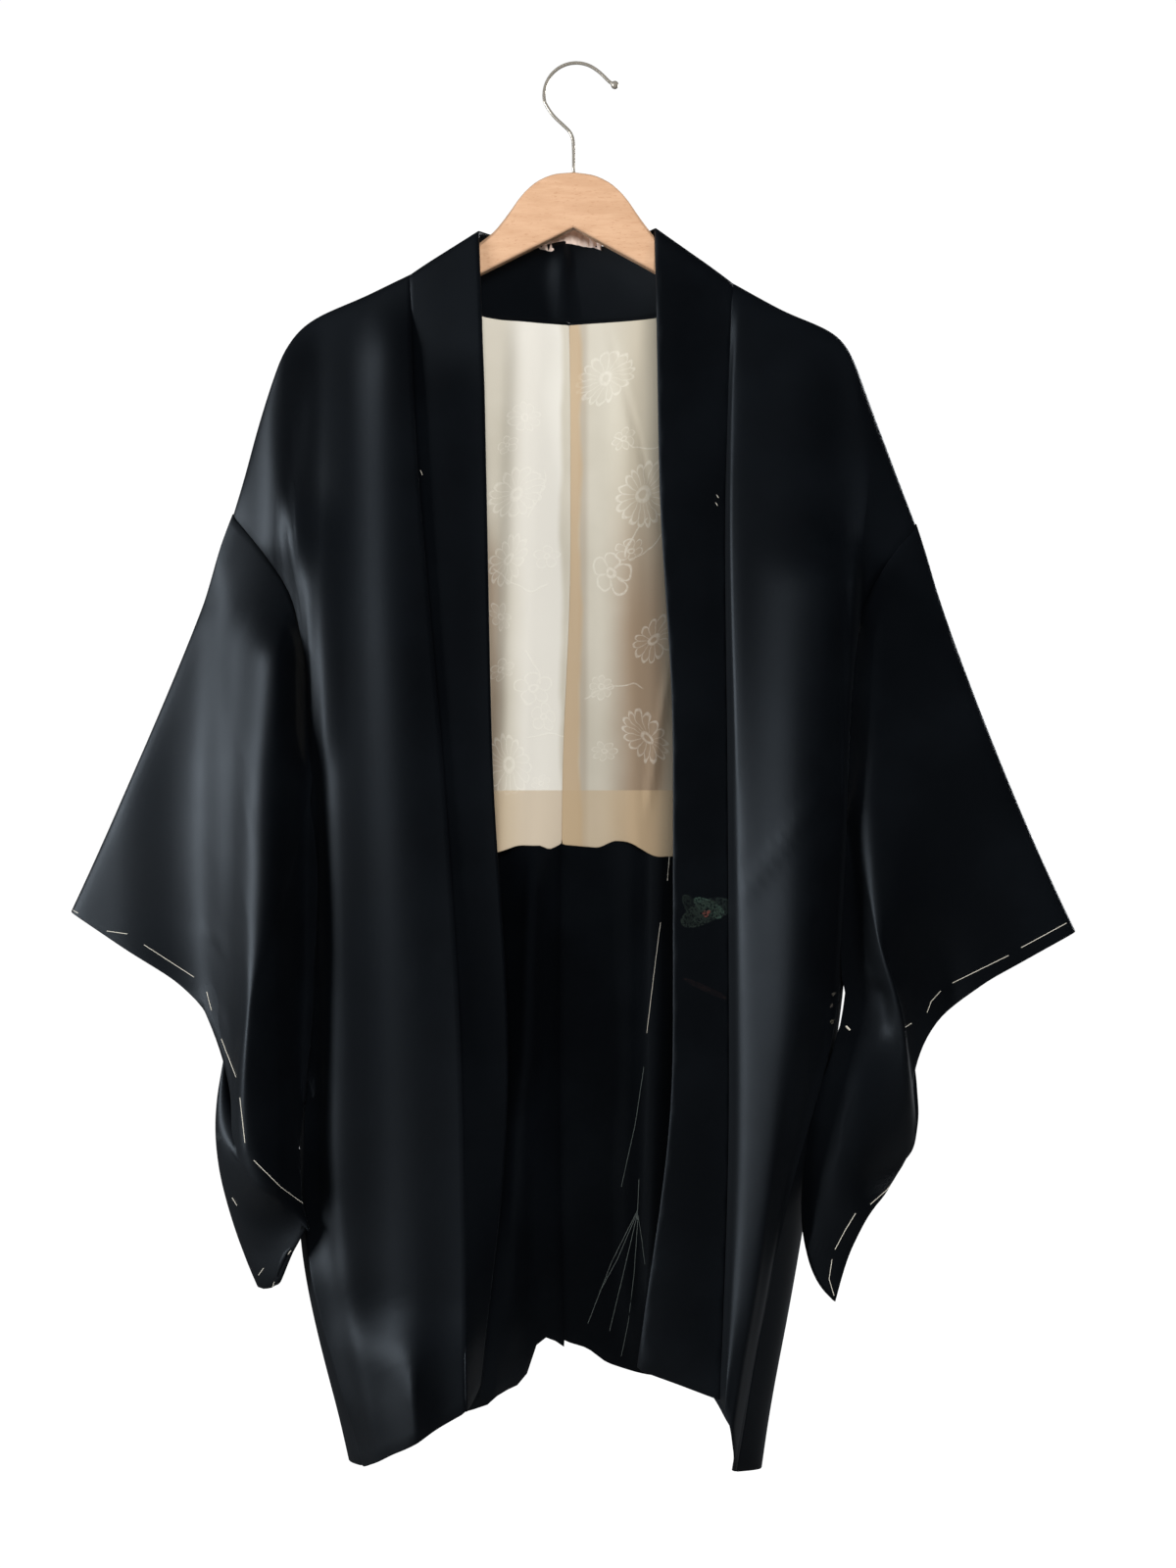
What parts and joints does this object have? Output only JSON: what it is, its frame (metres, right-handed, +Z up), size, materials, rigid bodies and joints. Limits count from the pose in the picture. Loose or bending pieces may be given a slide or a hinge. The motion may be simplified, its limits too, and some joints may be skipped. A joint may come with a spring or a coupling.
{
  "type": "haori jacket on wooden coat hanger",
  "caption": "Black silk haori jacket with a folded collar band, hanging sleeves and a cream half lining, on a wooden coat hanger with a wire hook",
  "frame": {"origin": "the inside top of the hanger's hook, where it rests on a rail", "axes": "+Z up; the viewer looks along +Y at the jacket's front; +X is the wearer's left"},
  "size_m": [0.8184, 0.132, 1.1512],
  "materials": {
    "silk": "black silk with a very dark blue cast, soft sheen along the folds",
    "lining": "cream damask with woven flowers, ivory and tan",
    "beech": "pale beech, thin clear lacquer",
    "steel": "bright drawn wire"
  },
  "bodies": {
    "root": {"body_right": "silk", "body_left": "silk", "sleeve_right": "silk", "sleeve_left": "silk", "gusset_right": "silk", "gusset_left": "silk", "collar": "silk", "lining_right": "lining", "lining_left": "lining", "hanger_wood": "beech", "hanger_hook": "steel"}
  },
  "joints": []
}
